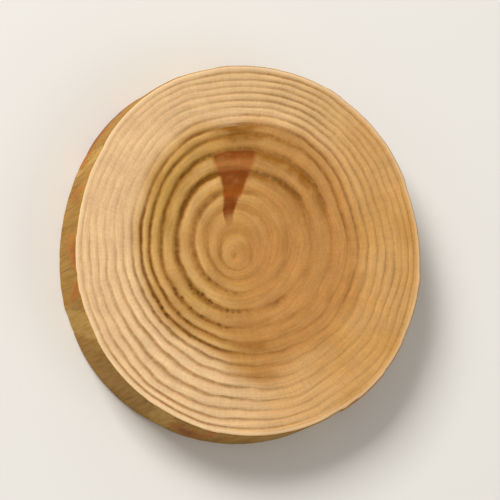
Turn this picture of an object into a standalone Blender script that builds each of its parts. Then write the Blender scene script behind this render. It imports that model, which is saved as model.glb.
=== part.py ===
"""Wood slice: a thin round of branch wood, sawn straight across the grain and debarked by knife.

The slice grew as one piece, so it is one closed solid. It lies flat on its underside.
Frame: origin at the centre of the underside's box, +Z up through the slice, metres.
"""
import math

import bmesh
import bpy
from mathutils import Vector

# Driving dimensions, in metres and degrees.
MEAN_RADIUS = 0.0210
THICKNESS = 0.0064
EDGE_ROUND = 0.0003
EDGE_SEGMENTS = 2
OUTLINE_POINTS = 120

# The branch was nearly round. Each swelling is (lobes, share of the radius, angle of a crest).
SWELLINGS = (
    (2, 0.020, 74.0),
    (3, 0.005, -22.0),
    (4, 0.005, 46.0),
    (5, 0.003, -17.0),
)

# The knife left shallow flats where the bark came off: (angle, depth at the middle).
KNIFE_FLATS = (
    (16.0, 0.00010),
    (58.0, 0.00007),
    (105.0, 0.00008),
    (153.0, 0.00006),
    (203.0, 0.00009),
    (245.0, 0.00010),
    (301.0, 0.00008),
    (340.0, 0.00009),
)

WOOD_COLOUR = (0.56, 0.34, 0.16, 1.0)
WOOD_ROUGHNESS = 0.75


def grown_radius(angle):
    """The branch's radius before it was shaved: a circle with a few low swellings."""
    radius = MEAN_RADIUS
    for lobes, share, crest in SWELLINGS:
        radius += MEAN_RADIUS * share * math.cos(lobes * (angle - math.radians(crest)))
    return radius


def shaved_radius(angle):
    """The grown radius, cut back wherever it stands proud of a knife flat's straight line."""
    radius = grown_radius(angle)
    for flat_degrees, depth in KNIFE_FLATS:
        flat_angle = math.radians(flat_degrees)
        facing = math.cos(angle - flat_angle)
        if facing > 0.5:
            radius = min(radius, (grown_radius(flat_angle) - depth) / facing)
    return radius


def outline():
    """The slice's outline as points, moved so that the middle of its box is at the origin."""
    angles = [math.tau * step / OUTLINE_POINTS for step in range(OUTLINE_POINTS)]
    points = [Vector((math.cos(a), math.sin(a))) * shaved_radius(a) for a in angles]
    xs = [point.x for point in points]
    ys = [point.y for point in points]
    middle = Vector(((min(xs) + max(xs)) / 2, (min(ys) + max(ys)) / 2))
    return [point - middle for point in points]


def wood_material():
    """Bare, dry sawn wood."""
    material = bpy.data.materials.new("sawn_wood")
    material.use_nodes = True
    shader = material.node_tree.nodes["Principled BSDF"]
    shader.inputs["Base Color"].default_value = WOOD_COLOUR
    shader.inputs["Roughness"].default_value = WOOD_ROUGHNESS
    shader.inputs["Metallic"].default_value = 0.0
    material.diffuse_color = WOOD_COLOUR
    return material


def wood_slice():
    """The outline raised to the slice's thickness, with both sawn edges slightly rounded."""
    shape = bmesh.new()
    underside = shape.faces.new([shape.verts.new((p.x, p.y, 0.0)) for p in outline()])
    raised = bmesh.ops.extrude_face_region(shape, geom=[underside])
    top_corners = [part for part in raised["geom"] if isinstance(part, bmesh.types.BMVert)]
    bmesh.ops.translate(shape, verts=top_corners, vec=(0.0, 0.0, THICKNESS))
    sawn_edges = [edge for edge in shape.edges if edge.verts[0].co.z == edge.verts[1].co.z]
    bmesh.ops.bevel(
        shape,
        geom=sawn_edges,
        offset=EDGE_ROUND,
        offset_type="OFFSET",
        segments=EDGE_SEGMENTS,
        profile=0.5,
        affect="EDGES",
    )
    bmesh.ops.recalc_face_normals(shape, faces=shape.faces)
    mesh = bpy.data.meshes.new("wood_slice")
    shape.to_mesh(mesh)
    shape.free()
    mesh.shade_smooth()
    mesh.set_sharp_from_angle(angle=math.radians(35))
    mesh.materials.append(wood_material())
    return bpy.data.objects.new("wood_slice", mesh)


def main():
    for leftover in list(bpy.data.objects):
        bpy.data.objects.remove(leftover, do_unlink=True)
    bpy.context.scene.collection.objects.link(wood_slice())


main()
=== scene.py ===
"""Sawn wood slice: the finish of a thin round cut across a dry branch.

One closed surface stands in for the plain solid of the slice. Its rows follow the growth rings, so
that each year's groove is a clean arc. It also carries the saw's marks, the sunken wedge of stained
wood, the knife's flats and the film of inner bark left on the rim. Two wood finishes cover it: sawn
end grain, and the peeled rim.
"""

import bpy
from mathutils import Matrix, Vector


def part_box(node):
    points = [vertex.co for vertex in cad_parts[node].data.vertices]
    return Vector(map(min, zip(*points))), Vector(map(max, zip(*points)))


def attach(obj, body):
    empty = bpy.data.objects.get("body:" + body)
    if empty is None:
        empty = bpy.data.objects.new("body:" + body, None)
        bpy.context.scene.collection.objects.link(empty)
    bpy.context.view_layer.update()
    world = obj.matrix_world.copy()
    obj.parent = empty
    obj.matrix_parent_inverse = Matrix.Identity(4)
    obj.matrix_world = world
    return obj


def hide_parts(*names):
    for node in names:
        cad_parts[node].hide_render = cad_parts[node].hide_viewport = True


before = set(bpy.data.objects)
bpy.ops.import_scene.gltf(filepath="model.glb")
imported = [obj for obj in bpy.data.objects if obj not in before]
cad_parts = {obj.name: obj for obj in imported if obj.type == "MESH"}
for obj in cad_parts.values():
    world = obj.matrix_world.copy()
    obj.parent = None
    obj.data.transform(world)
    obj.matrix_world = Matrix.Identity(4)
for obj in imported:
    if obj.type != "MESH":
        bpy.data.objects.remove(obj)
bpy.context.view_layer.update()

import math

import bpy
import numpy as np
from mathutils import Matrix, Vector

bl_info = {
    "name": "Sawn wood slice",
    "version": (1, 0, 0),
    "blender": (4, 5, 0),
    "location": "3D View > Sidebar > Wood slice",
    "description": "Builds the ringed faces and peeled rim of a branch slice, and a pale stage for it",
    "category": "Object",
}

NODE = "wood_slice"
MILLIMETRE = 0.001
PER_METRE = 1.0 / MILLIMETRE

# The grid that the surface is worked out on. A face's rows lie at these parts of every year, and
# they stand closest where the groove between two years is steepest.
COLUMNS = 480
TOP_PHASES = (0.0, 0.06, 0.14, 0.24, 0.36, 0.60, 0.84, 0.93)
UNDERSIDE_PHASES = (0.0, 0.36, 0.84)
RIM_ROWS = 24
ARRIS_ROWS = 4

# The rim stays this far inside the solid's wall, which runs straight between fewer points.
WALL_CLEARANCE = 0.005 * MILLIMETRE

# The heartwood's even share of the way from the pith to the edge, and half the band it fades over.
HEART_REACH = 0.65
HEART_FADE = 0.065

# Millimetres between the marks of the saw's strokes.
SAW_SPACING = 1.3

# Places of the sockets on a colour Mix node, which names three pairs of them alike.
MIX_FACTOR, MIX_FIRST, MIX_SECOND, MIX_RESULT = 0, 6, 7, 2

BLACK = (0.0, 0.0, 0.0, 1.0)
WHITE = (1.0, 1.0, 1.0, 1.0)
DAYLIGHT = (1.0, 0.985, 0.96, 1.0)


def linear(code):
    """An sRGB hex colour as linear red, green, blue and full alpha."""
    parts = [int(code[place:place + 2], 16) / 255.0 for place in (1, 3, 5)]
    return (*(p / 12.92 if p <= 0.04045 else ((p + 0.055) / 1.055) ** 2.4 for p in parts), 1.0)


def colour(code, name, description):
    """A colour setting whose default is the given hex code."""
    return bpy.props.FloatVectorProperty(
        name=name, description=description, subtype="COLOR", size=4, min=0.0, max=1.0,
        default=linear(code),
    )


def length(default, name, description):
    """A length setting in metres."""
    return bpy.props.FloatProperty(
        name=name, description=description, default=default, min=0.0, precision=5,
        subtype="DISTANCE", unit="LENGTH",
    )


class SliceSizes(bpy.types.PropertyGroup):
    """What a maker would change about the slice's surface. Its outline and thickness are the solid's."""

    pith: bpy.props.FloatVectorProperty(
        name="Pith", description="Where the branch's first year lies, from the middle of the slice",
        size=2, default=(-0.0016, -0.0009), subtype="XYZ", unit="LENGTH",
    )
    rings: bpy.props.IntProperty(
        name="Rings", description="Years of growth between the pith and the bark", default=15, min=3,
    )
    ring_depth: length(0.00017, "Ring depth", "How deep the soft spring wood has worn")
    saw_depth: length(0.000006, "Saw depth", "Height of the marks that the saw's teeth left")
    arris: length(0.00032, "Arris", "Radius of the worn edge between face and rim")
    bark_height: length(0.00007, "Bark height", "How far the film of inner bark stands off the wood")
    knife_depth: length(0.00005, "Knife depth", "How far the knife went below the wood's own surface")
    fibre_depth: length(0.00003, "Fibre depth", "Depth of the furrows along the rim's fibres")
    seed: bpy.props.IntProperty(name="Seed", description="Changes all chance detail", default=7)


class SliceColours(bpy.types.PropertyGroup):
    """The colours of dry, debarked branch wood, with the peeled rim's three colours darkened as painted
    shade.
    """

    sapwood: colour("#e2b886", "Sapwood", "Pale outer wood")
    sapwood_ridge: colour("#f0c994", "Sapwood ridge", "Palest wood in the middle of each outer year")
    sapwood_line: colour("#b28550", "Sapwood ring", "Line where one year's sapwood ends")
    warm_sapwood: colour("#cb954e", "Warm sapwood", "Orange-gold cast of one side's outer wood")
    heartwood: colour("#be8846", "Heartwood", "Honey-brown wood round the pith")
    heartwood_ridge: colour("#dcae6c", "Summer wood", "Hard pale wood that stands proud in each ring")
    heartwood_groove: colour("#78490c", "Spring wood", "Dark, worn wood at the start of each ring")
    warm_heartwood: colour("#c28648", "Warm heartwood", "Pinkish cast of one side's heartwood")
    olive: colour("#ae8534", "Olive cast", "Greenish-gold cast beside the wedge")
    browned: colour("#935c18", "Browned wood", "Brown that has spread along a few years")
    stain: colour("#984c0a", "Stain", "Red-brown wedge in the heartwood")
    stain_dark: colour("#7c3a04", "Stain, dark", "The darkest years of the wedge")
    # rim_wood, rim_shade and knife_cut are darker than the peeled wood's own golden colour, as painted
    # shade over the whole rim. rim_shade is the tone of the rim in shadow, and it is used for the darker
    # fibres.
    rim_wood: colour("#a87a2a", "Peeled wood", "Golden wood just under the bark")
    rim_shade: colour("#805517", "Peeled wood, dark", "Darker fibres of the peeled wood")
    knife_cut: colour("#c29b4f", "Knife cut", "Paler wood laid bare where the knife went deeper")
    bark_film: colour("#b06c1c", "Bark film", "Amber skin of inner bark left on the rim")
    bark_dark: colour("#6e3c14", "Bark film, thick", "Red-brown middle of the thicker patches")


class StageSettings(bpy.types.PropertyGroup):
    """Where the slice is seen from, and the light on it."""

    tilt: bpy.props.FloatProperty(
        name="Tilt", description="Angle between the view and the slice's axis",
        default=math.radians(21.0), subtype="ANGLE", unit="ROTATION",
    )
    bearing: bpy.props.FloatProperty(
        name="Bearing", description="Side of the slice that the camera leans towards",
        default=math.radians(209.0), subtype="ANGLE", unit="ROTATION",
    )
    distance: length(0.62, "Distance", "From the camera to the slice")
    frame_height: length(0.0561, "Frame height", "Height of what the camera sees at the slice")
    key_power: bpy.props.FloatProperty(
        name="Key light", description="Power of the soft light from the upper left",
        default=6.1, min=0.0, subtype="POWER", unit="POWER",
    )
    fill_power: bpy.props.FloatProperty(
        name="Fill light", description="Power of the weak light from the right",
        default=1.2, min=0.0, subtype="POWER", unit="POWER",
    )
    surround: bpy.props.FloatProperty(
        name="Surround", description="Strength of the even light from all round", default=0.36, min=0.0,
    )
    floor: colour("#e9e5de", "Floor", "Plain pale floor")


# ---------------------------------------------------------------------------------------------
# Shapes
# ---------------------------------------------------------------------------------------------


def smooth_step(low, high, value):
    """0 below low, 1 above high, and 3t^2 - 2t^3 of the way t between them."""
    way = np.clip((value - low) / (high - low), 0.0, 1.0)
    return way * way * (3.0 - 2.0 * way)


def bell(value, middle, width):
    """A bell curve of height 1: e to the minus square of the distance from middle, in widths."""
    return np.exp(-(((value - middle) / width) ** 2))


def turned(angle, middle):
    """The angle from middle, in radians, brought between minus and plus half a turn."""
    return (angle - middle + math.pi) % math.tau - math.pi


def sector(angle, middle, width):
    """A bell over the angle, with its middle and width in degrees."""
    return bell(turned(angle, math.radians(middle)), 0.0, math.radians(width))


def ripple(place, wavelength, seed, waves=30):
    """Smooth noise of unit variance: a sum of plane waves in chance directions and phases.

    Wavelengths lie round the given one, in the units of place. Each pattern on the slice adds a
    number of its own to the maker's seed.
    """
    chance = np.random.default_rng(seed)
    total = np.zeros(place.shape[:-1])
    for _ in range(waves):
        direction = chance.normal(size=3)
        direction /= np.linalg.norm(direction)
        turns = direction / (wavelength * chance.uniform(0.7, 1.5))
        total += np.cos(math.tau * (place @ turns) + chance.uniform(0.0, math.tau))
    return total * math.sqrt(2.0 / waves)


def reach_from_pith(angle, pith, solid):
    """Distance from the pith to the solid's wall at each angle.

    The wall's corners are turned to polar form about the pith and joined by straight runs in
    angle, and then smoothed by four passes of the weights 1, 2, 1 over the columns.
    """
    corners = np.empty(len(solid.data.vertices) * 3)
    solid.data.vertices.foreach_get("co", corners)
    corners = corners.reshape(-1, 3)
    low, high = corners[:, 2].min(), corners[:, 2].max()
    on_wall = np.abs(corners[:, 2] - (low + high) / 2) < 0.46 * (high - low)
    offset = corners[on_wall, :2] - pith
    turn = np.arctan2(offset[:, 1], offset[:, 0])
    order = np.argsort(turn)
    reach = np.interp(angle, turn[order], np.hypot(*offset.T)[order], period=math.tau)
    for _ in range(4):
        reach = (np.roll(reach, 1) + 2.0 * reach + np.roll(reach, -1)) / 4.0
    return reach


def ring_ends(count):
    """How far out each year's ring ends, from 0 at the pith to 1 at the peeled edge.

    A ring's width falls off with age as e to the minus year over 17, swells by a bell in the
    fourth and fifth years, and varies a little from year to year. The last quarter of the last
    year went with the bark.
    """
    year = np.arange(1, count + 1)
    width = np.exp(-year / 17.0) + 0.62 * bell(year, 4.5, 1.0)
    width *= 1.0 + 0.07 * np.sin(2.4 * year)
    ends = np.cumsum(width)
    return np.concatenate(([0.0], ends / (ends[-1] - width[-1] / 4)))


def drift(share, angle, place, seed):
    """How far beyond its even place the wood of an age lies, as a share of the way to the edge.

    The middle years are pushed to the fast-growing side, by the sine and cosine of the angle, and
    all of them waver by about a hundredth.
    """
    crowd = smooth_step(0.0, 0.26, share) * (1.0 - smooth_step(0.60, 1.0, share))
    push = crowd * (0.078 * np.sin(angle) + (0.075 * share - 0.012) * np.cos(angle))
    inside = smooth_step(0.02, 0.2, share) * (1.0 - smooth_step(0.93, 1.0, share))
    waver = 0.0062 * ripple(place, 9.0, seed + 1) + 0.0019 * ripple(place, 3.2, seed + 2)
    return push - inside * waver


def groove(phase):
    """Wear across one ring, 1 at the bottom: deep in the spring wood, none in the summer wood.

    It falls from 1 to 0 over the first third of the ring and rises again over its last sixth.
    """
    return 1.0 - smooth_step(0.05, 0.36, phase) * (1.0 - smooth_step(0.84, 1.0, phase))


class Surface:
    """The slice's surface as whole arrays: a row for each line round the pith, a column for each angle.

    Rows run from the pith over the top, round the arris, down the rim and back underneath.
    """

    def __init__(self, sizes, solid):
        low, high = (np.array(corner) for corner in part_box(NODE))
        self.pith = np.array(sizes.pith) + (low + high)[:2] / 2
        self.low, self.high = low[2], high[2]
        self.angle = np.linspace(-math.pi, math.pi, COLUMNS, endpoint=False)
        self.reach = reach_from_pith(self.angle, self.pith, solid)
        self.arris = sizes.arris
        top_age, top_share = self.face_rows(sizes, TOP_PHASES, self.high)
        under_age, under_share = self.face_rows(sizes, UNDERSIDE_PHASES, self.low)
        over, height = self.wall_rows()
        self.top_rows, self.under_rows = len(top_age), len(under_age)
        self.rows = self.top_rows + len(over) + self.under_rows
        self.age = np.concatenate(
            (top_age, np.full(len(over), top_age[-1]), under_age[::-1]))[:, None]
        self.share = np.concatenate((top_share, np.ones((len(over), COLUMNS)), under_share[::-1]))
        beyond = np.concatenate((0 * top_age, over, 0 * under_age))[:, None]
        self.radius = self.share * (self.reach - self.arris) + beyond
        self.height = np.concatenate((
            0 * top_age + self.high, height, 0 * under_age + self.low))[:, None]

    def face_rows(self, sizes, phases, height):
        """Ages of one face's rows, and the share of the way out that each lies at each angle.

        Rows stand at the given phases of every year, and at the edge. Wood of an age lies where
        the share equals its even place plus the drift there, so that rule is repeated until the
        share settles.
        """
        ends = ring_ends(sizes.rings)
        years = np.arange(len(ends))
        edge_age = np.interp(1.0, ends, years)
        ages = (years[:-1, None] + np.array(phases)).ravel()
        ages = np.append(ages[(ages > 0.0) & (ages < edge_age - 0.05)], edge_age)
        even = np.interp(ages, years, ends)[:, None]
        share = np.repeat(even, COLUMNS, axis=1)
        for _ in range(14):
            place = self.places(share * (self.reach - self.arris), height) * PER_METRE
            share = even + drift(share, self.angle, level(place), sizes.seed)
        return ages, share

    def wall_rows(self):
        """How far beyond the face's edge the rows of both arrises and the rim lie, and their heights.

        An arris is a quarter turn of its radius.
        """
        bend = (np.arange(ARRIS_ROWS) + 1.0) / (ARRIS_ROWS + 1) * math.pi / 2
        over, fall = self.arris * np.sin(bend), self.arris * (1.0 - np.cos(bend))
        drop = np.linspace(self.high - self.arris, self.low + self.arris, RIM_ROWS)
        beyond = np.concatenate((over, np.full(RIM_ROWS, self.arris), over[::-1]))
        return beyond, np.concatenate((self.high - fall, drop, self.low + fall[::-1]))

    def places(self, radius, height):
        """Points at those distances from the pith and heights, as rows by columns by 3."""
        x = self.pith[0] + radius * np.cos(self.angle)
        y = self.pith[1] + radius * np.sin(self.angle)
        return np.stack((x, y, np.broadcast_to(height, x.shape)), axis=-1)


def level(place):
    """Places with their height drawn in, so that a pattern changes little through the thickness."""
    return place * np.array((1.0, 1.0, 0.12))


def along_fibres(place, stretch):
    """Places drawn in along the branch, so that a pattern is longer that way by the given times."""
    return place * np.array((1.0, 1.0, 1.0 / stretch))


def along_arcs(place, age):
    """Places drawn in across the face and set apart by year, so that noise runs along the rings."""
    return np.concatenate([place[..., :2] / 3.0, np.round(age)[..., None] * 7.0], axis=-1)


# Flats cut by the knife: bearing of the middle in degrees, half width in millimetres, and how far
# the middle wanders to the side for each millimetre of height.
KNIFE_CUTS = ((16.0, 2.6, 0.22), (58.0, 1.5, -0.30), (105.0, 2.2, 0.12), (153.0, 1.2, -0.16),
              (203.0, 1.9, 0.26), (245.0, 1.3, -0.20), (301.0, 2.4, 0.15), (340.0, 1.1, -0.28))


def knife_flats(place, ragged):
    """How far inside the nearest cut each point lies, in millimetres, and negative outside.

    That is the cut's half width less the arc from its leaning middle, with a ragged length added.
    """
    bearing = np.arctan2(place[..., 1], place[..., 0])
    around = np.hypot(place[..., 0], place[..., 1])
    inside = np.full(bearing.shape, -np.inf)
    for middle, half_width, lean in KNIFE_CUTS:
        arc = turned(bearing, math.radians(middle)) * around - lean * place[..., 2]
        inside = np.maximum(inside, half_width - np.abs(arc) + ragged)
    return inside


# Where the rings show more plainly than round about, or less: by how much, the bearing and its half
# width in degrees, and then, unless it is so in every year, the age and its half span in years.
HEART_PATCHES = (
    (0.55, 122, 24, 4.5, 0.8), (0.62, 54, 26, 4.7, 0.9), (0.28, 235, 36), (0.40, 28, 30, 6.6, 1.0),
    (-0.40, 126, 19, 7.1, 0.6),
)
SAP_PATCHES = (
    (0.78, 241, 46), (0.52, 66, 44), (0.30, 0, 34), (0.10, 185, 24),
    (0.42, 194, 26, 8.2, 1.5), (0.50, 34, 26, 8.2, 1.5),
)


def patches(table, angle, age):
    """Sum of a table's patches: each is a bell over the bearing and, where it says so, over the age."""
    return sum(
        height * sector(angle, bearing, width) * (bell(age, *years) if years else 1.0)
        for height, bearing, width, *years in table)


def ring_contrast(age, angle, heartwood, place, seed):
    """How plainly the rings show, up to 1.5: most on the side of the heartwood that wore deepest.

    The sapwood's lines are plain below and to the upper right, and nearly gone at the upper left.
    The first years show less than the later ones.
    """
    worn_side = (0.5 + 0.5 * np.cos(turned(angle, math.radians(155)))) ** 1.5
    in_heart = 0.27 + 0.70 * worn_side + 0.11 * ripple(place, 5.0, seed + 4)
    in_heart += patches(HEART_PATCHES, angle, age)
    in_sap = 0.10 + 0.05 * ripple(place, 4.0, seed + 5) + patches(SAP_PATCHES, angle, age)
    by_year = 0.86 + 0.14 * np.sin(1.9 * np.round(age) + 0.6)
    by_year *= 0.42 + 0.58 * smooth_step(1.0, 4.6, age)
    return np.clip((heartwood * in_heart + (1 - heartwood) * in_sap) * by_year, 0.03, 1.5)


# The wedge of stain, in degrees: the bearing of its broad end, how far its tip leans round from
# there, its half width at the pith, and how much that grows with each year.
WEDGE_BEARING = 91.5
WEDGE_LEAN = 10.5
WEDGE_HALF_WIDTH = 3.9
WEDGE_SPREAD = 1.83


def wedge(age, angle, place, seed):
    """Share of stain: a wedge that opens outwards from the second year and stops with the fifth."""
    bent = 0.012 * ripple(place, 5.0, seed + 6) + 0.005 * ripple(place, 1.7, seed + 7)
    lean = math.radians(WEDGE_LEAN) * (1.0 - smooth_step(1.0, 4.6, age)) ** 2
    turn = np.abs(turned(angle, math.radians(WEDGE_BEARING) + lean + bent))
    inside = 1.0 - smooth_step(0.80, 1.12, turn / np.radians(WEDGE_HALF_WIDTH + WEDGE_SPREAD * age))
    return inside * smooth_step(1.1, 1.9, age) * (1.0 - smooth_step(4.94, 5.0, age))


def browned_years(age, angle, heartwood, place, seed):
    """Share of brown in a few years: over the wedge, beside it, opposite, and here and there.

    Beside the wedge, and here and there in the heart, only the late part of the year is brown.
    """
    late = smooth_step(0.25, 0.80, age % 1.0)
    over = 0.85 * sector(angle, 89, 9) * smooth_step(5.0, 5.4, age)
    over += 0.6 * sector(angle, 76, 26) * late
    over *= smooth_step(5.0, 5.9, age) * (1.0 - smooth_step(6.95, 7.0, age))
    beside = (sector(angle, 56, 30) + 0.5 * sector(angle, 124, 18)) * late
    beside *= bell(age, 4.85, 0.5) + 0.65 * bell(age, 3.85, 0.4)
    opposite = sector(angle, 281, 12) * (0.85 * bell(age, 6.3, 0.6) + 0.4 * bell(age, 9.1, 0.6))
    arcs = ripple(along_arcs(place, age), 2.2, seed + 12)
    scattered = 0.34 * heartwood * late * smooth_step(0.1, 1.2, arcs)
    return np.clip(over + 1.2 * beside + opposite + scattered, 0.0, 1.0)


def surface_marks(surface, sizes, place):
    """What the relief and the finishes need to know about the wood, as arrays of the grid's shape.

    ring_age is the year that the wood grew in. heartwood, stain, browned, warmth, olive and fleck
    (the pitted part) are shares, and ring_contrast is how plainly the rings show. bark is above 0
    where inner bark is left, knife is the distance inside a cut in millimetres, and edge and
    pith_distance are millimetres from the arris and from the pith.

    At the lower left, the saw has torn one year of the heart and dotted a later one.
    """
    seed = sizes.seed
    share, angle = surface.share, np.broadcast_to(surface.angle, surface.share.shape)
    age = np.broadcast_to(surface.age, share.shape)
    flat = level(place)
    even = np.interp(age, np.arange(sizes.rings + 1), ring_ends(sizes.rings))
    boundary = HEART_REACH + 0.012 * ripple(flat, 6.0, seed + 3)
    boundary += 0.026 * np.cos(angle - math.radians(250))
    boundary += 0.035 * sector(angle, 92, 45) + 0.075 * sector(angle, 281, 15)
    heartwood = 1.0 - smooth_step(-HEART_FADE, HEART_FADE, even - boundary)
    fibre = along_fibres(place, 4.5)
    patch = along_fibres(place, 2.2)
    ragged = 0.14 * ripple(fibre, 1.4, seed + 8) + 0.16 * ripple(fibre, 3.4, seed + 9)
    upper_left = sector(angle, 140, 42) * bell(even, 0.52, 0.16)
    above = 0.35 * sector(angle, 82, 38) * smooth_step(0.66, 0.80, even)
    torn = sector(angle, 223, 13) * bell(age, 4.3, 0.6)
    dotted = sector(angle, 222, 24) * bell(age, 7.2, 1.1)
    return {
        "ring_age": age,
        "heartwood": heartwood,
        "ring_contrast": ring_contrast(age, angle, heartwood, flat, seed),
        "stain": wedge(age, angle, flat, seed),
        "browned": browned_years(age, angle, heartwood, flat, seed) + 0.22 * dotted,
        "warmth": smooth_step(-0.12, 0.93, np.cos(turned(angle, math.radians(352)))),
        "olive": np.clip(upper_left + above + 0.9 * torn, 0.0, 1.0),
        "fleck": np.clip(
            0.06 + 1.1 * sector(angle, 235, 40) * bell(even, 0.40, 0.15) + torn + 0.8 * dotted, 0.0, 1.0),
        "bark": ripple(patch, 10.0, seed + 10) + 0.5 * ripple(patch, 3.2, seed + 11) - 0.85,
        "knife": knife_flats(place, ragged),
        "edge": (surface.reach - surface.arris - surface.radius) * PER_METRE,
        "pith_distance": surface.radius * PER_METRE,
    }


def face_relief(marks, sizes, place, underside):
    """Depth of a face below its plane, in metres.

    It adds up the ring grooves, the saw's marks, soft hollows, the pith's pit and, on the top only,
    the stained and browned years.
    """
    seed = sizes.seed + (40 if underside else 20)
    strength = np.minimum(marks["ring_contrast"], 1.0) * (0.5 if underside else 1.0)
    depth = sizes.ring_depth * strength * groove(marks["ring_age"] % 1.0)
    feed = np.array((0.34, 0.94, 0.0) if underside else (0.95, 0.31, 0.0))
    bow = 0.8 * ripple(place, 16.0, seed)
    cut = np.sin(math.tau * (place @ feed + bow) / SAW_SPACING + ripple(place, 5.0, seed + 1))
    depth += sizes.saw_depth * (1.0 + cut) * smooth_step(-1.2, 1.4, ripple(place, 7.0, seed + 2))
    hollow = np.clip(ripple(place, 6.0, seed + 3), -1.5, 1.5) + 1.5
    depth += MILLIMETRE * (0.016 * hollow + 0.11 * bell(marks["pith_distance"], 0.0, 0.4))
    if not underside:
        depth += MILLIMETRE * (0.07 * marks["stain"] + 0.04 * marks["browned"])
    return depth


def rim_recess(marks, sizes, place):
    """How far the rim lies inside the solid's wall: least on bark film, most in the knife's cuts.

    Furrows along the fibres are added. The wall is left clear everywhere.
    """
    fibre = along_fibres(place, 10.0)
    furrows = np.clip(0.6 * ripple(fibre, 1.3, sizes.seed + 30) + 0.4 * ripple(fibre, 0.8, sizes.seed + 31),
                      -2.0, 2.0)
    bare = 1.0 - smooth_step(-0.10, 0.15, marks["bark"])
    cut = smooth_step(-0.1, 0.5, marks["knife"]) * bare
    recess = sizes.bark_height * bare + sizes.knife_depth * cut
    return WALL_CLEARANCE + recess + sizes.fibre_depth * (0.5 + 0.25 * furrows) * (1.0 - 0.5 * cut)


def slice_surface(sizes, solid):
    """The grid, its finished points and its marks.

    Faces sink by their relief, which fades out at the arris. The outline moves in by the rim's
    recess, which fades in over the last tenth of each face, and torn fibres nick both edges.
    """
    surface = Surface(sizes, solid)
    place = surface.places(surface.radius, surface.height) * PER_METRE
    marks = surface_marks(surface, sizes, place)
    upper = surface.height > (surface.low + surface.high) / 2
    top = face_relief(marks, sizes, place, underside=False)
    under = face_relief(marks, sizes, place, underside=True)
    fade = smooth_step(-0.1, 0.7, marks["edge"])
    from_face = np.minimum(surface.high - surface.height, surface.height - surface.low) * PER_METRE
    torn = np.maximum(ripple(along_fibres(place, 50.0), 1.2, sizes.seed + 50) - 0.8, 0.0)
    nick = 0.03 * MILLIMETRE * torn * bell(marks["edge"], -0.12, 0.30) * (from_face < 0.5)
    sunk = np.where(upper, -top * fade - nick, under * fade + nick)
    inward = rim_recess(marks, sizes, place) * smooth_step(0.90, 1.0, surface.share) + 0.5 * nick
    return surface, surface.places(surface.radius - inward, surface.height + sunk), marks


def face_corners(rows):
    """Row and column of every face corner of a closed tube of quads, with a pole before and after.

    Returns them and each face's number of corners, row by row. The poles are row -1 and the row
    after the last, and the last column is followed by one more, where the tube closes.
    """
    column = np.arange(COLUMNS)
    row = np.arange(rows - 1)[:, None]
    last = rows - 1

    def stacked(*corners):
        parts = np.broadcast_arrays(*(part for corner in corners for part in corner))
        return [np.stack(parts[start::2], axis=-1).ravel() for start in (0, 1)]

    first_rows, first_columns = stacked((-1, column), (0, column), (0, column + 1))
    quad_rows, quad_columns = stacked(
        (row, column), (row + 1, column), (row + 1, column + 1), (row, column + 1))
    last_rows, last_columns = stacked((last, column + 1), (last, column), (rows, column))
    counts = np.repeat((3, 4, 3), (COLUMNS, (rows - 1) * COLUMNS, COLUMNS))
    return (np.concatenate((first_rows, quad_rows, last_rows)),
            np.concatenate((first_columns, quad_columns, last_columns)), counts)


def with_poles(values):
    """The grid's values as one list, with a pole at each end that has its nearest row's mean."""
    first, last = values[0].mean(axis=0)[None], values[-1].mean(axis=0)[None]
    return np.concatenate((first, values.reshape(-1, *values.shape[2:]), last))


def texture_map(surface, row, column, flat):
    """Where each face corner lies on the texture square, with no two faces over each other.

    The top is a disc at the left and the underside a smaller one at the right, both seen from
    above. The rim is two strips below them, each with half a turn of the columns.
    """
    top_middle, top_radius = (0.305, 0.695), 0.29
    under_middle, under_radius = (0.81, 0.80), 0.175
    first_foot, second_foot, strip_height, margin = 0.26, 0.14, 0.10, 0.02
    longest = surface.reach.max()
    disc = np.array(top_middle) + top_radius / longest * flat
    underside = np.array(under_middle) + under_radius / longest * flat
    half = COLUMNS // 2
    rim_span = surface.rows - surface.top_rows - surface.under_rows + 1
    down = (row - surface.top_rows + 1) / rim_span
    right = column >= half
    along = margin + (1.0 - 2.0 * margin) * (column - half * right) / half
    strip = np.stack((
        along, np.where(right, second_foot, first_foot) + strip_height * (1.0 - down)), axis=-1)
    return disc, underside, strip


def mesh_from_grid(name, surface, points, marks):
    """The finished mesh, with every mark stored as an attribute of its points."""
    row, column, counts = face_corners(surface.rows)
    spots = with_poles(points)
    number = np.clip(1 + row * COLUMNS + column % COLUMNS, 0, len(spots) - 1)
    mesh = bpy.data.meshes.new(name)
    mesh.vertices.add(len(spots))
    mesh.vertices.foreach_set("co", spots.ravel())
    mesh.loops.add(len(number))
    mesh.loops.foreach_set("vertex_index", number)
    mesh.polygons.add(len(counts))
    mesh.polygons.foreach_set("loop_start", np.cumsum(counts) - counts)
    mesh.polygons.foreach_set("loop_total", counts)

    inner_row = np.repeat(np.arange(-1, surface.rows), COLUMNS)
    rim_end = surface.rows - surface.under_rows
    half_arris = ARRIS_ROWS // 2
    on_rim = (inner_row >= surface.top_rows - 1 + half_arris) & (inner_row < rim_end - half_arris)
    mesh.polygons.foreach_set("material_index", on_rim.astype(np.int32))
    mesh.update(calc_edges=True)
    for mark, values in marks.items():
        attribute = mesh.attributes.new(mark, "FLOAT", "POINT")
        attribute.data.foreach_set("value", with_poles(values).astype(np.float32))

    disc, underside, strip = texture_map(surface, row, column, spots[number, :2] - surface.pith)
    corner_row = np.repeat(inner_row, counts)[:, None]
    spread = np.where(corner_row < surface.top_rows - 1, disc,
                      np.where(corner_row < rim_end, strip, underside))
    bake_map = mesh.uv_layers.new(name="OFBake")
    bake_map.data.foreach_set("uv", spread.astype(np.float32).ravel())
    mesh.validate()
    mesh.shade_smooth()
    return mesh


# ---------------------------------------------------------------------------------------------
# Finishes
# ---------------------------------------------------------------------------------------------

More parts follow.
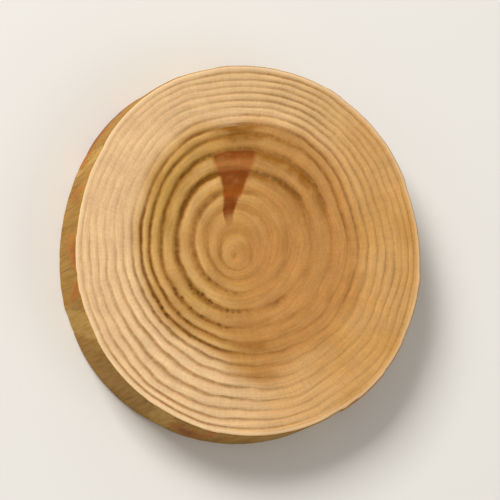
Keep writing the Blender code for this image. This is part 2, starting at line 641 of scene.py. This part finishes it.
# Settings that many nodes share.
SMOOTH = {"interpolation_type": "SMOOTHSTEP"}
BLEND = {"data_type": "RGBA", "out": MIX_RESULT}
TIMES = {"operation": "MULTIPLY"}
TIMES_AND = {"operation": "MULTIPLY_ADD"}


def add(tree, kind, inputs=(), out=0, stops=(), **settings):
    """Adds a node and returns one of its outputs.

    Inputs are given in order or by name, each as a value or as the socket to link from. Stops are
    a colour ramp's places and colours, in rising order.
    """
    node = tree.nodes.new("ShaderNode" + kind)
    for name, value in settings.items():
        setattr(node, name, value)
    for name, value in inputs.items() if isinstance(inputs, dict) else enumerate(inputs):
        if isinstance(value, bpy.types.NodeSocket):
            tree.links.new(value, node.inputs[name])
        else:
            node.inputs[name].default_value = value
    for number, (place, tint) in enumerate(stops):
        ramp = node.color_ramp.elements
        stop = ramp[number] if number < len(ramp) else ramp.new(place)
        stop.position = place
        stop.color = tint
    return node.outputs[out] if len(node.outputs) else node


def blank_material(name):
    """A new material, and its node tree with nothing in it."""
    material = bpy.data.materials.new(name)
    material.use_nodes = True
    material.node_tree.nodes.clear()
    return material, material.node_tree


def mixed(first, second, share):
    """A colour the given share of the way from first to second."""
    return tuple(a + (b - a) * share for a, b in zip(first, second))


def grey(value):
    """An even grey of that value, for the stops of a ramp that stands for a number."""
    return (value, value, value, 1.0)


def per(millimetres):
    """The texture scale that gives a pattern features of that size."""
    return 1.0 / (millimetres * MILLIMETRE)


def year_pattern(tree, where):
    """Spring wear and summer hardness across each year, as far as they show there.

    A little noise in the age keeps each line from being drawn with a compass.
    """
    fine = add(tree, "TexNoise", {"Vector": where, "Scale": per(1.1), "Detail": 3.0})
    waver = add(tree, "MapRange", (fine, 0.2, 0.8, -0.04, 0.04), **SMOOTH)
    age = add(tree, "Attribute", attribute_name="ring_age", out="Fac")
    phase = add(tree, "Math", (add(tree, "Math", (age, waver)),), operation="FRACT")
    contrast = add(tree, "Attribute", attribute_name="ring_contrast", out="Fac")
    worn = add(tree, "ValToRGB", (phase,), stops=(
        (0.0, grey(1.0)), (0.10, grey(0.95)), (0.22, grey(0.42)), (0.40, grey(0.0)),
        (0.80, grey(0.0)), (0.90, grey(0.35)), (0.97, grey(1.0))))
    hard = add(tree, "ValToRGB", (phase,), stops=(
        (0.28, grey(0.0)), (0.55, grey(0.8)), (0.78, grey(1.0)), (0.92, grey(0.0))))
    thin = add(tree, "TexNoise", {"Vector": where, "Scale": per(0.7), "Detail": 2.0})
    thin = add(tree, "MapRange", (thin, 0.3, 0.6, 0.70, 1.0), **SMOOTH)
    sunk = add(tree, "Math", (add(tree, "Math", (worn, thin), **TIMES), contrast), **TIMES)
    return sunk, add(tree, "Math", (hard, contrast), **TIMES)


def growth_lines(tree, where):
    """Faint lines within a year, a sixth of it wide and a few millimetres long, along its arc.

    The noise is read at the age, which changes fast outwards, and at the place, drawn in so that
    it changes slowly.
    """
    age = add(tree, "Attribute", attribute_name="ring_age", out="Fac")
    slow = add(tree, "VectorMath", {0: where, "Scale": 1.0 / (18.0 * MILLIMETRE)}, operation="SCALE")
    place = add(tree, "VectorMath", (slow, add(tree, "CombineXYZ", {"X": age})))
    return add(tree, "TexNoise", {"Vector": place, "Scale": 6.0, "Detail": 4.0, "Roughness": 0.65})


def sap_and_heart(tree, colours, where, sunk, proud):
    """Colour of the wood by age: a pale outer band round a honey heart, each with its own lines.

    The heart has an olive cast on one side, and both turn orange on the other.
    """
    patch = add(tree, "TexNoise", {"Vector": where, "Scale": per(6.0), "Detail": 1.0})
    warm = add(tree, "Math", (
        add(tree, "Attribute", attribute_name="warmth", out="Fac"),
        add(tree, "MapRange", (patch, 0.25, 0.75, 0.72, 1.0), **SMOOTH)), **TIMES)
    sap = add(tree, "Mix", {
        MIX_FACTOR: proud, MIX_FIRST: colours.sapwood, MIX_SECOND: colours.sapwood_ridge}, **BLEND)
    sap = add(tree, "Mix", {
        MIX_FACTOR: warm, MIX_FIRST: sap, MIX_SECOND: colours.warm_sapwood}, **BLEND)
    sap = add(tree, "Mix", {
        MIX_FACTOR: add(tree, "MapRange", (sunk, 0.0, 0.85, 0.0, 0.95), **SMOOTH),
        MIX_FIRST: sap, MIX_SECOND: colours.sapwood_line}, **BLEND)
    heart = add(tree, "Mix", {
        MIX_FACTOR: proud, MIX_FIRST: colours.heartwood, MIX_SECOND: colours.heartwood_ridge}, **BLEND)
    heart = add(tree, "Mix", {
        MIX_FACTOR: add(tree, "Math", (warm, 0.8), **TIMES),
        MIX_FIRST: heart, MIX_SECOND: colours.warm_heartwood}, **BLEND)
    heart = add(tree, "Mix", {
        MIX_FACTOR: add(tree, "MapRange", (sunk, 0.0, 1.0, 0.0, 0.96), **SMOOTH),
        MIX_FIRST: heart, MIX_SECOND: colours.heartwood_groove}, **BLEND)
    wood = add(tree, "Mix", {
        MIX_FACTOR: add(tree, "Attribute", attribute_name="heartwood", out="Fac"),
        MIX_FIRST: sap, MIX_SECOND: heart}, **BLEND)
    olive = add(tree, "Attribute", attribute_name="olive", out="Fac")
    return add(tree, "Mix", {
        MIX_FACTOR: add(tree, "Math", (olive, 0.55), **TIMES),
        MIX_FIRST: wood, MIX_SECOND: add(tree, "Mix", {
            MIX_FACTOR: sunk, MIX_FIRST: colours.olive,
            MIX_SECOND: colours.heartwood_groove}, **BLEND)}, **BLEND)


def browned_and_stained(tree, colours, where, wood):
    """Lays the browned years and the red-brown wedge over the wood.

    The wedge is darkest at its tip and at the ends of the fourth and fifth years, and lightest
    early in the fifth.
    """
    mottle = add(tree, "TexNoise", {"Vector": where, "Scale": per(1.3), "Detail": 3.0})
    browned = add(tree, "Math", (
        add(tree, "Attribute", attribute_name="browned", out="Fac"),
        add(tree, "MapRange", (mottle, 0.3, 0.65, 0.68, 1.0), **SMOOTH)), **TIMES)
    wood = add(tree, "Mix", {
        MIX_FACTOR: browned, MIX_FIRST: wood, MIX_SECOND: colours.browned}, **BLEND)
    age = add(tree, "Attribute", attribute_name="ring_age", out="Fac")
    light = mixed(colours.stain, colours.heartwood_ridge, 0.16)
    deep = mixed(colours.stain, colours.stain_dark, 0.6)
    tint = add(tree, "ValToRGB", (add(tree, "MapRange", (age, 1.0, 5.0)),), stops=(
        (0.30, colours.stain_dark), (0.42, deep), (0.52, colours.stain), (0.62, deep),
        (0.70, colours.stain_dark), (0.755, colours.stain_dark), (0.80, light), (0.88, light),
        (0.93, deep), (0.98, colours.stain_dark)))
    soaked = add(tree, "Math", (
        add(tree, "Attribute", attribute_name="stain", out="Fac"),
        add(tree, "MapRange", (mottle, 0.25, 0.6, 0.80, 0.98), **SMOOTH)), **TIMES)
    return add(tree, "Mix", {MIX_FACTOR: soaked, MIX_FIRST: wood, MIX_SECOND: tint}, **BLEND)


def torn_pits(tree, where, sunk):
    """Pits, about three quarters of a millimetre apart, where the saw dragged out the spring wood."""
    cell = add(tree, "TexVoronoi", {"Vector": where, "Scale": per(0.75), "Randomness": 1.0})
    bent = add(tree, "TexNoise", {"Vector": where, "Scale": per(0.8), "Detail": 3.0})
    rim = add(tree, "Math", (cell, add(tree, "MapRange", (bent, 0.3, 0.7, -0.12, 0.12))))
    pit = add(tree, "MapRange", (rim, 0.20, 0.44, 1.0, 0.0), **SMOOTH)
    torn = add(tree, "Math", (
        add(tree, "Attribute", attribute_name="fleck", out="Fac"),
        add(tree, "MapRange", (sunk, 0.05, 0.4, 0.08, 1.0), **SMOOTH)), **TIMES)
    return add(tree, "Math", (pit, torn), **TIMES)


def ray_streaks(tree, where, pith):
    """Rays: faint streaks a quarter of a millimetre wide that run from the pith to the bark.

    The noise is read on a circle round the pith, so it changes with bearing and little outwards.
    """
    circle_radius, outward_pace = 16.0 * MILLIMETRE, 0.06
    from_pith = add(tree, "VectorMath", (where, (pith[0], pith[1], 0.0)), operation="SUBTRACT")
    flat = add(tree, "VectorMath", (from_pith, (1.0, 1.0, 0.0)), operation="MULTIPLY")
    outward = add(tree, "VectorMath", (flat,), operation="NORMALIZE")
    circle = add(tree, "VectorMath", {0: outward, "Scale": circle_radius}, operation="SCALE")
    distance = add(tree, "VectorMath", (flat,), operation="LENGTH", out="Value")
    slow = add(tree, "CombineXYZ", {"Z": add(tree, "Math", (distance, outward_pace), **TIMES)})
    place = add(tree, "VectorMath", (circle, slow))
    return add(tree, "TexNoise", {"Vector": place, "Scale": per(0.25), "Detail": 2.0})


def end_grain(colours, pith):
    """Dry branch wood, sawn across the grain: matt, ringed, with pits, a nap of cut fibres and rays.

    It gives the eye a pale outer band, a honey heart whose rings are dark in the spring wood and
    light in the summer wood, and a soft nap of cut fibres that keeps it from shining.
    """
    material, tree = blank_material("sawn_branch_end_grain")
    where = add(tree, "TexCoord", out="Object")
    sunk, proud = year_pattern(tree, where)
    wood = sap_and_heart(tree, colours, where, sunk, proud)
    wood = browned_and_stained(tree, colours, where, wood)
    pit = torn_pits(tree, where, sunk)
    wood = add(tree, "Mix", {
        MIX_FACTOR: add(tree, "Math", (pit, 0.8), **TIMES),
        MIX_FIRST: wood, MIX_SECOND: mixed(colours.heartwood_groove, BLACK, 0.3)}, **BLEND)

    # Broad cloudiness, growth lines, the nap of cut fibre ends and the rays all shift the tone. Real
    # fibre ends and rays are a few hundredths of a millimetre wide, and are drawn coarser to show.
    rays = ray_streaks(tree, where, pith)
    lines = growth_lines(tree, where)
    cloud = add(tree, "TexNoise", {"Vector": where, "Scale": per(3.2), "Detail": 4.0})
    nap = add(tree, "TexNoise", {
        "Vector": where, "Scale": per(0.26), "Detail": 3.0, "Roughness": 0.6})
    tone = add(tree, "Math", (
        add(tree, "MapRange", (cloud, 0.3, 0.7, 0.93, 1.06), **SMOOTH),
        add(tree, "MapRange", (nap, 0.25, 0.75, 0.93, 1.06), **SMOOTH)), **TIMES)
    tone = add(tree, "Math", (
        tone, add(tree, "MapRange", (rays, 0.3, 0.7, 0.97, 1.025), **SMOOTH)), **TIMES)
    tone = add(tree, "Math", (
        tone, add(tree, "MapRange", (lines, 0.3, 0.7, 0.90, 1.075), **SMOOTH)), **TIMES)
    wood = add(tree, "VectorMath", {0: wood, "Scale": tone}, operation="SCALE")

    # A pale line is painted along the arris as a painted highlight.
    edge = add(tree, "Attribute", attribute_name="edge", out="Fac")
    wood = add(tree, "Mix", {
        MIX_FACTOR: add(tree, "MapRange", (edge, 0.0, 0.3, 0.45, 0.0), **SMOOTH),
        MIX_FIRST: wood, MIX_SECOND: mixed(colours.sapwood_ridge, WHITE, 0.12)}, **BLEND)

    height = add(tree, "Math", (nap, 0.6), **TIMES)
    height = add(tree, "Math", (cloud, 0.5, height), **TIMES_AND)
    height = add(tree, "Math", (rays, 0.08, height), **TIMES_AND)
    height = add(tree, "Math", (lines, 0.6, height), **TIMES_AND)
    height = add(tree, "Math", (pit, -1.0, height), **TIMES_AND)
    height = add(tree, "Math", (sunk, -0.5, height), **TIMES_AND)
    normal = add(tree, "Bump", {"Height": height, "Strength": 0.8, "Distance": 0.00007})
    shader = add(tree, "BsdfPrincipled", {
        "Base Color": wood,
        "Roughness": add(tree, "MapRange", (nap, 0.2, 0.8, 0.68, 0.86), **SMOOTH),
        "IOR": 1.5,
        "Specular IOR Level": 0.14,
        "Normal": normal,
    })
    add(tree, "OutputMaterial", (shader,))
    return material


def peeled_rim(colours):
    """Branch wood peeled by knife: satin, streaked along the grain, amber where bark is left.

    It gives the eye golden wood with long fine fibres, paler flats where the knife went deeper,
    and a thin film of inner bark in amber patches that turn red-brown in the middle.
    """
    material, tree = blank_material("knife_peeled_rim")
    where = add(tree, "TexCoord", out="Object")

    # Fibres run up the rim, so each pattern is drawn out along Z. They are drawn coarser than real
    # fibres, which are a few hundredths of a millimetre wide, so that they show.
    drawn_out = {}
    for name, stretch in (("short", 2.5), ("long", 12.0), ("hair", 30.0)):
        drawn_out[name] = add(tree, "Mapping", {"Vector": where, "Scale": (1.0, 1.0, 1.0 / stretch)})
    fibres = add(tree, "TexNoise", {
        "Vector": drawn_out["long"], "Scale": per(0.28), "Detail": 4.0, "Roughness": 0.6})
    broad = add(tree, "TexNoise", {"Vector": drawn_out["short"], "Scale": per(3.0), "Detail": 4.0})
    # Both colours that the fibres streak between carry painted shade.
    wood = add(tree, "Mix", {
        MIX_FACTOR: add(tree, "MapRange", (fibres, 0.25, 0.70, 0.25, 1.0), **SMOOTH),
        MIX_FIRST: colours.rim_shade, MIX_SECOND: colours.rim_wood}, **BLEND)
    wood = add(tree, "Mix", {
        MIX_FACTOR: add(tree, "MapRange", (broad, 0.35, 0.65, 0.0, 0.40), **SMOOTH),
        MIX_FIRST: wood, MIX_SECOND: mixed(colours.rim_wood, colours.knife_cut, 0.5)}, **BLEND)

    # Knife cuts are paler, and their sides follow the fibres.
    rag = add(tree, "TexNoise", {"Vector": drawn_out["long"], "Scale": per(0.5), "Detail": 3.0})
    rag = add(tree, "MapRange", (rag, 0.2, 0.8, -0.5, 0.5), **SMOOTH)
    inside = add(tree, "Math", (add(tree, "Attribute", attribute_name="knife", out="Fac"), rag))
    cut = add(tree, "MapRange", (inside, -0.15, 0.45, 0.0, 0.85), **SMOOTH)
    cream = add(tree, "Mix", {
        MIX_FACTOR: add(tree, "MapRange", (fibres, 0.25, 0.75), **SMOOTH),
        MIX_FIRST: mixed(colours.knife_cut, colours.rim_wood, 0.7),
        MIX_SECOND: colours.knife_cut}, **BLEND)
    wood = add(tree, "Mix", {MIX_FACTOR: cut, MIX_FIRST: wood, MIX_SECOND: cream}, **BLEND)

    # The film of inner bark is amber where it is thin and red-brown where it is thick.
    skin = add(tree, "TexNoise", {
        "Vector": drawn_out["short"], "Scale": per(1.1), "Detail": 5.0, "Roughness": 0.65})
    film = add(tree, "Math", (
        add(tree, "Attribute", attribute_name="bark", out="Fac"),
        add(tree, "MapRange", (skin, 0.2, 0.8, -0.8, 0.8))))
    bark = add(tree, "MapRange", (film, -0.12, 0.10, 0.0, 0.9), **SMOOTH)
    thickness = add(tree, "MapRange", (film, 0.0, 2.0))
    skin_tint = add(tree, "ValToRGB", (thickness,), stops=(
        (0.0, mixed(colours.bark_film, colours.rim_wood, 0.5)), (0.16, colours.bark_film),
        (0.50, mixed(colours.bark_film, colours.bark_dark, 0.5)), (0.85, colours.bark_dark)))
    wood = add(tree, "Mix", {MIX_FACTOR: bark, MIX_FIRST: wood, MIX_SECOND: skin_tint}, **BLEND)

    # Hairline openings between fibres.
    hair = add(tree, "TexNoise", {"Vector": drawn_out["hair"], "Scale": per(0.34), "Detail": 1.0})
    hair = add(tree, "MapRange", (hair, 0.66, 0.76), **SMOOTH)
    wood = add(tree, "Mix", {
        MIX_FACTOR: add(tree, "Math", (hair, 0.35), **TIMES),
        MIX_FIRST: wood, MIX_SECOND: mixed(colours.bark_dark, BLACK, 0.2)}, **BLEND)

    height = add(tree, "Math", (fibres, 0.8), **TIMES)
    height = add(tree, "Math", (bark, 0.5, height), **TIMES_AND)
    height = add(tree, "Math", (hair, -0.5, height), **TIMES_AND)
    normal = add(tree, "Bump", {"Height": height, "Strength": 0.5, "Distance": 0.00007})
    shader = add(tree, "BsdfPrincipled", {
        "Base Color": wood,
        "Roughness": add(tree, "MapRange", (fibres, 0.2, 0.8, 0.72, 0.56), **SMOOTH),
        "IOR": 1.5,
        "Specular IOR Level": 0.22,
        "Normal": normal,
    })
    add(tree, "OutputMaterial", (shader,))
    return material


# ---------------------------------------------------------------------------------------------
# Operators
# ---------------------------------------------------------------------------------------------


class WOODSLICE_OT_slice(bpy.types.Operator):
    """Build the slice's surface over its solid, with both of its finishes"""

    bl_idname = "woodslice.slice"
    bl_label = "Build slice"

    def execute(self, context):
        scene = context.scene
        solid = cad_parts[NODE]
        surface, points, marks = slice_surface(scene.slice_sizes, solid)
        mesh = mesh_from_grid("sawn_slice", surface, points, marks)
        mesh.materials.append(end_grain(scene.slice_colours, surface.pith))
        mesh.materials.append(peeled_rim(scene.slice_colours))
        piece = bpy.data.objects.new("sawn_slice", mesh)
        scene.collection.objects.link(piece)
        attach(piece, "root")
        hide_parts(NODE)
        return {"FINISHED"}


class WOODSLICE_OT_stage(bpy.types.Operator):
    """Lay a plain pale floor, hang soft lights and set the camera"""

    bl_idname = "woodslice.stage"
    bl_label = "Build stage"

    def execute(self, context):
        scene = context.scene
        stage = scene.slice_stage
        self.add_floor(scene, stage)
        self.add_lights(scene, stage)
        self.add_camera(scene, stage)
        return {"FINISHED"}

    def add_floor(self, scene, stage):
        """A square of plain matt board, a hair's breadth under the slice."""
        half_side, height = 2.0, -0.05 * MILLIMETRE
        mesh = bpy.data.meshes.new("floor")
        square = ((-1, -1), (1, -1), (1, 1), (-1, 1))
        corners = [(x * half_side, y * half_side, height) for x, y in square]
        mesh.from_pydata(corners, [], [(0, 1, 2, 3)])
        material, tree = blank_material("matt_pale_board")
        shader = add(tree, "BsdfPrincipled", {
            "Base Color": stage.floor, "Roughness": 0.9, "Specular IOR Level": 0.2})
        add(tree, "OutputMaterial", (shader,))
        mesh.materials.append(material)
        floor = bpy.data.objects.new("floor", mesh)
        scene.collection.objects.link(floor)

    def add_lights(self, scene, stage):
        """A soft key from the upper left of the view, a weak fill, and even light all round."""
        for name, power, side, place in (
            ("key_light", stage.key_power, 0.34, (-0.42, 0.44, 0.52)),
            ("fill_light", stage.fill_power, 0.6, (0.6, -0.35, 0.5)),
        ):
            lamp = bpy.data.lights.new(name, "AREA")
            lamp.energy = power
            lamp.size = side
            light = bpy.data.objects.new(name, lamp)
            light.location = place
            light.rotation_mode = "QUATERNION"
            light.rotation_quaternion = Vector(place).to_track_quat("Z", "Y")
            scene.collection.objects.link(light)
        world = bpy.data.worlds.new("soft_surround")
        world.use_nodes = True
        background = world.node_tree.nodes["Background"]
        background.inputs["Color"].default_value = DAYLIGHT
        background.inputs["Strength"].default_value = stage.surround
        scene.world = world
        scene.view_settings.view_transform = "Standard"

    def add_camera(self, scene, stage):
        """A long lens that leans off the slice's axis, turned so that +Y points up the view."""
        low, high = (Vector(corner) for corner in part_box(NODE))
        target = (low + high) / 2
        target.z = high.z
        away = Vector((
            math.sin(stage.tilt) * math.cos(stage.bearing),
            math.sin(stage.tilt) * math.sin(stage.bearing),
            math.cos(stage.tilt),
        ))
        up = (Vector((0, 1, 0)) - away * away.y).normalized()
        right = up.cross(away)
        turn = Matrix((right, up, away)).transposed()
        data = bpy.data.cameras.new("camera")
        data.sensor_width = 36.0
        data.lens = data.sensor_width * stage.distance / stage.frame_height
        data.clip_start = 0.01
        data.clip_end = 10.0
        camera = bpy.data.objects.new("camera", data)
        camera.matrix_world = Matrix.Translation(target + away * stage.distance) @ turn.to_4x4()
        scene.collection.objects.link(camera)
        scene.camera = camera


class WOODSLICE_PT_panel(bpy.types.Panel):
    """The slice's settings and the buttons that build it"""

    bl_idname = "WOODSLICE_PT_panel"
    bl_label = "Wood slice"
    bl_space_type = "VIEW_3D"
    bl_region_type = "UI"
    bl_category = "Wood slice"

    def draw(self, context):
        groups = (
            (context.scene.slice_sizes, WOODSLICE_OT_slice),
            (context.scene.slice_colours, None),
            (context.scene.slice_stage, WOODSLICE_OT_stage),
        )
        for settings, operator in groups:
            box = self.layout.box()
            for name in settings.__annotations__:
                box.prop(settings, name)
            if operator is not None:
                box.operator(operator.bl_idname)


CLASSES = (
    SliceSizes,
    SliceColours,
    StageSettings,
    WOODSLICE_OT_slice,
    WOODSLICE_OT_stage,
    WOODSLICE_PT_panel,
)


def register():
    for kind in CLASSES:
        bpy.utils.register_class(kind)
    bpy.types.Scene.slice_sizes = bpy.props.PointerProperty(type=SliceSizes)
    bpy.types.Scene.slice_colours = bpy.props.PointerProperty(type=SliceColours)
    bpy.types.Scene.slice_stage = bpy.props.PointerProperty(type=StageSettings)


def unregister():
    del bpy.types.Scene.slice_stage
    del bpy.types.Scene.slice_colours
    del bpy.types.Scene.slice_sizes
    for kind in reversed(CLASSES):
        bpy.utils.unregister_class(kind)


def main():
    register()
    bpy.ops.woodslice.slice()
    bpy.ops.woodslice.stage()


if __name__ == "__main__":
    main()
